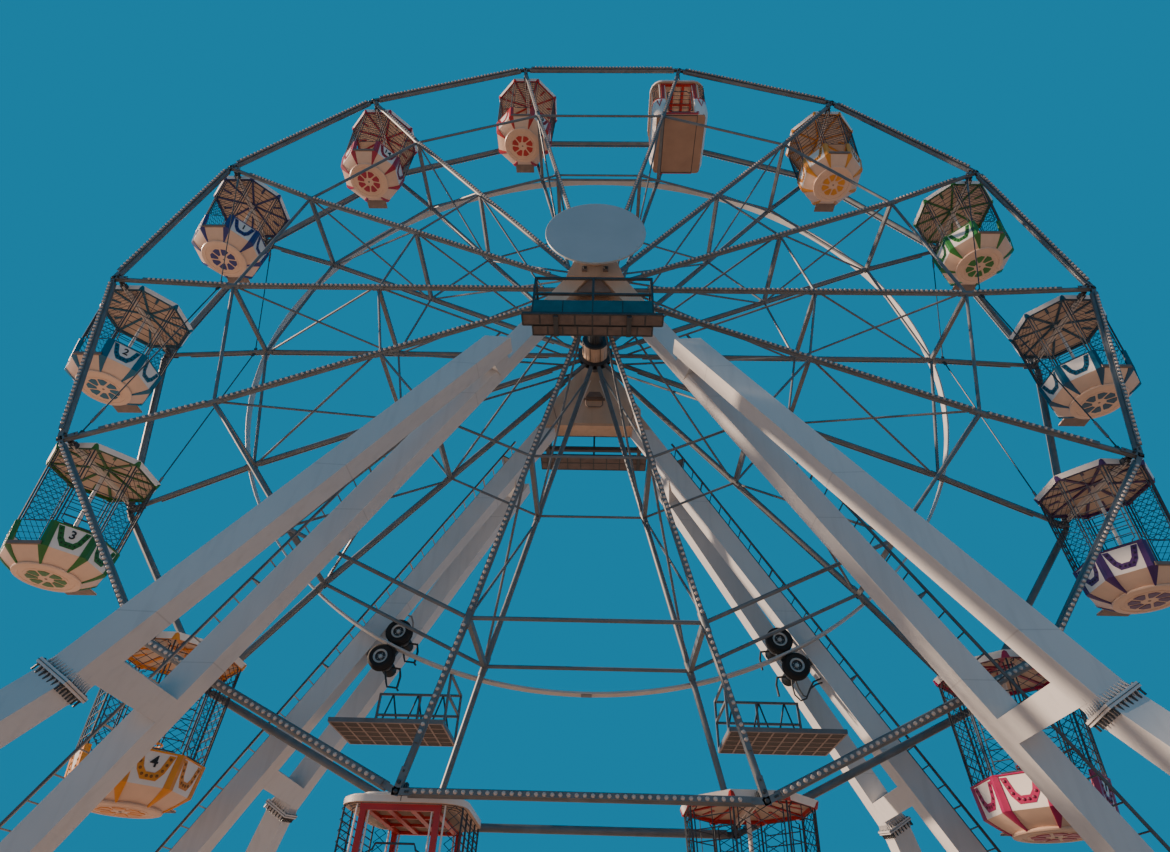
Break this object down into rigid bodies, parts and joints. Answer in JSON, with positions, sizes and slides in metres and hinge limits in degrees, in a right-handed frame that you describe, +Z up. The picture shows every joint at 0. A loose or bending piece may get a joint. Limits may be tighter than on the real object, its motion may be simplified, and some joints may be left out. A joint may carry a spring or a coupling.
{
  "type": "ferris wheel",
  "caption": "Ferris wheel with open gondolas that hang level from a trussed rim, carried on splayed box-section legs and turned by friction tyres on a drive ring.",
  "frame": {"origin": "on the ground under the middle of the hub", "axes": "+Z up, +Y along the axle towards the drive side, +X to the right seen from the front"},
  "size_m": [22.1036, 11.326, 23.7423],
  "materials": {
    "white_paint": "semi-gloss white",
    "galvanised": "weathered galvanised steel",
    "dark_steel": "dark painted steel",
    "disc_grey": "matt pale grey",
    "tyre": "black rubber",
    "cabin_crimson": "cream fibreglass with crimson trim",
    "cabin_green": "cream fibreglass with green trim",
    "cabin_magenta": "cream fibreglass with magenta trim",
    "cabin_navy": "cream fibreglass with navy trim",
    "cabin_orange": "cream fibreglass with orange trim",
    "cabin_purple": "cream fibreglass with purple trim",
    "cabin_red": "cream fibreglass with red trim",
    "cabin_teal": "cream fibreglass with teal trim"
  },
  "bodies": {
    "supports": {"front_left_inner_leg": "white_paint", "front_left_outer_leg": "white_paint", "front_right_inner_leg": "white_paint", "front_right_outer_leg": "white_paint", "back_left_inner_leg": "white_paint", "back_left_outer_leg": "white_paint", "back_right_inner_leg": "white_paint", "back_right_outer_leg": "white_paint", "front_head": "white_paint", "back_head": "white_paint", "front_disc": "disc_grey", "front_platform": "dark_steel", "back_platform": "dark_steel", "front_left_ladder": "galvanised", "front_right_ladder": "galvanised", "back_left_ladder": "galvanised", "back_right_ladder": "galvanised", "left_drive_platform": "dark_steel", "right_drive_platform": "dark_steel", "left_drive_unit": "dark_steel", "right_drive_unit": "dark_steel"},
    "wheel": {"wheel_hub": "galvanised", "drive_ring": "white_paint", "spoke_frame_01": "galvanised", "spoke_frame_02": "galvanised", "spoke_frame_03": "galvanised", "spoke_frame_04": "galvanised", "spoke_frame_05": "galvanised", "spoke_frame_06": "galvanised", "spoke_frame_07": "galvanised", "spoke_frame_08": "galvanised", "spoke_frame_09": "galvanised", "spoke_frame_10": "galvanised", "spoke_frame_11": "galvanised", "spoke_frame_12": "galvanised", "spoke_frame_13": "galvanised", "spoke_frame_14": "galvanised"},
    "cabin_01": {"gondola_01": "cabin_navy"},
    "cabin_02": {"gondola_02": "cabin_teal"},
    "cabin_03": {"gondola_03": "cabin_green"},
    "cabin_04": {"gondola_04": "cabin_orange"},
    "cabin_05": {"gondola_05": "cabin_red"},
    "cabin_06": {"gondola_06": "cabin_red"},
    "cabin_07": {"gondola_07": "cabin_magenta"},
    "cabin_08": {"gondola_08": "cabin_purple"},
    "cabin_09": {"gondola_09": "cabin_teal"},
    "cabin_10": {"gondola_10": "cabin_green"},
    "cabin_11": {"gondola_11": "cabin_orange"},
    "cabin_12": {"gondola_12": "cabin_red"},
    "cabin_13": {"gondola_13": "cabin_red"},
    "cabin_14": {"gondola_14": "cabin_crimson"},
    "roller_left_inner": {"left_inner_tyre": "tyre"},
    "roller_left_outer": {"left_outer_tyre": "tyre"},
    "roller_right_inner": {"right_inner_tyre": "tyre"},
    "roller_right_outer": {"right_outer_tyre": "tyre"}
  },
  "joints": [
    {"name": "wheel_spin", "type": "hinge", "parent": "supports", "child": "wheel", "pos_m": [0, 0, 13.56], "axis": [0, 1, 0], "continuous": true},
    {"name": "gondola_01_hang", "type": "hinge", "parent": "wheel", "child": "cabin_01", "pos_m": [-9.1899, 0, 17.9856], "axis": [0, 1, 0], "continuous": true},
    {"name": "gondola_02_hang", "type": "hinge", "parent": "wheel", "child": "cabin_02", "pos_m": [-10.2, 0, 13.5599], "axis": [0, 1, 0], "continuous": true},
    {"name": "gondola_03_hang", "type": "hinge", "parent": "wheel", "child": "cabin_03", "pos_m": [-9.1899, 0, 9.1343], "axis": [0, 1, 0], "continuous": true},
    {"name": "gondola_04_hang", "type": "hinge", "parent": "wheel", "child": "cabin_04", "pos_m": [-6.3596, 0, 5.5853], "axis": [0, 1, 0], "continuous": true},
    {"name": "gondola_05_hang", "type": "hinge", "parent": "wheel", "child": "cabin_05", "pos_m": [-2.2697, 0, 3.6157], "axis": [0, 1, 0], "continuous": true},
    {"name": "gondola_06_hang", "type": "hinge", "parent": "wheel", "child": "cabin_06", "pos_m": [2.2698, 0, 3.6157], "axis": [0, 1, 0], "continuous": true},
    {"name": "gondola_07_hang", "type": "hinge", "parent": "wheel", "child": "cabin_07", "pos_m": [6.3596, 0, 5.5854], "axis": [0, 1, 0], "continuous": true},
    {"name": "gondola_08_hang", "type": "hinge", "parent": "wheel", "child": "cabin_08", "pos_m": [9.1899, 0, 9.1344], "axis": [0, 1, 0], "continuous": true},
    {"name": "gondola_09_hang", "type": "hinge", "parent": "wheel", "child": "cabin_09", "pos_m": [10.2, 0, 13.5601], "axis": [0, 1, 0], "continuous": true},
    {"name": "gondola_10_hang", "type": "hinge", "parent": "wheel", "child": "cabin_10", "pos_m": [9.1899, 0, 17.9857], "axis": [0, 1, 0], "continuous": true},
    {"name": "gondola_11_hang", "type": "hinge", "parent": "wheel", "child": "cabin_11", "pos_m": [6.3596, 0, 21.5347], "axis": [0, 1, 0], "continuous": true},
    {"name": "gondola_12_hang", "type": "hinge", "parent": "wheel", "child": "cabin_12", "pos_m": [2.2697, 0, 23.5043], "axis": [0, 1, 0], "continuous": true},
    {"name": "gondola_13_hang", "type": "hinge", "parent": "wheel", "child": "cabin_13", "pos_m": [-2.2698, 0, 23.5043], "axis": [0, 1, 0], "continuous": true},
    {"name": "gondola_14_hang", "type": "hinge", "parent": "wheel", "child": "cabin_14", "pos_m": [-6.3596, 0, 21.5346], "axis": [0, 1, 0], "continuous": true},
    {"name": "left_inner_tyre_spin", "type": "hinge", "parent": "supports", "child": "roller_left_inner", "pos_m": [-3.3868, 1.235, 6.6559], "axis": [0, 1, 0], "continuous": true},
    {"name": "left_outer_tyre_spin", "type": "hinge", "parent": "supports", "child": "roller_left_outer", "pos_m": [-3.6166, 1.235, 6.1873], "axis": [0, 1, 0], "continuous": true},
    {"name": "right_inner_tyre_spin", "type": "hinge", "parent": "supports", "child": "roller_right_inner", "pos_m": [3.3868, 1.235, 6.6559], "axis": [0, 1, 0], "continuous": true},
    {"name": "right_outer_tyre_spin", "type": "hinge", "parent": "supports", "child": "roller_right_outer", "pos_m": [3.6166, 1.235, 6.1873], "axis": [0, 1, 0], "continuous": true}
  ],
  "couplings": [
    {"joint": "gondola_01_hang", "follows": "wheel_spin", "ratio": -1},
    {"joint": "gondola_02_hang", "follows": "wheel_spin", "ratio": -1},
    {"joint": "gondola_03_hang", "follows": "wheel_spin", "ratio": -1},
    {"joint": "gondola_04_hang", "follows": "wheel_spin", "ratio": -1},
    {"joint": "gondola_05_hang", "follows": "wheel_spin", "ratio": -1},
    {"joint": "gondola_06_hang", "follows": "wheel_spin", "ratio": -1},
    {"joint": "gondola_07_hang", "follows": "wheel_spin", "ratio": -1},
    {"joint": "gondola_08_hang", "follows": "wheel_spin", "ratio": -1},
    {"joint": "gondola_09_hang", "follows": "wheel_spin", "ratio": -1},
    {"joint": "gondola_10_hang", "follows": "wheel_spin", "ratio": -1},
    {"joint": "gondola_11_hang", "follows": "wheel_spin", "ratio": -1},
    {"joint": "gondola_12_hang", "follows": "wheel_spin", "ratio": -1},
    {"joint": "gondola_13_hang", "follows": "wheel_spin", "ratio": -1},
    {"joint": "gondola_14_hang", "follows": "wheel_spin", "ratio": -1},
    {"joint": "left_inner_tyre_spin", "follows": "wheel_spin", "ratio": 34.203},
    {"joint": "left_outer_tyre_spin", "follows": "wheel_spin", "ratio": -34.375},
    {"joint": "right_inner_tyre_spin", "follows": "wheel_spin", "ratio": 34.203},
    {"joint": "right_outer_tyre_spin", "follows": "wheel_spin", "ratio": -34.375}
  ]
}
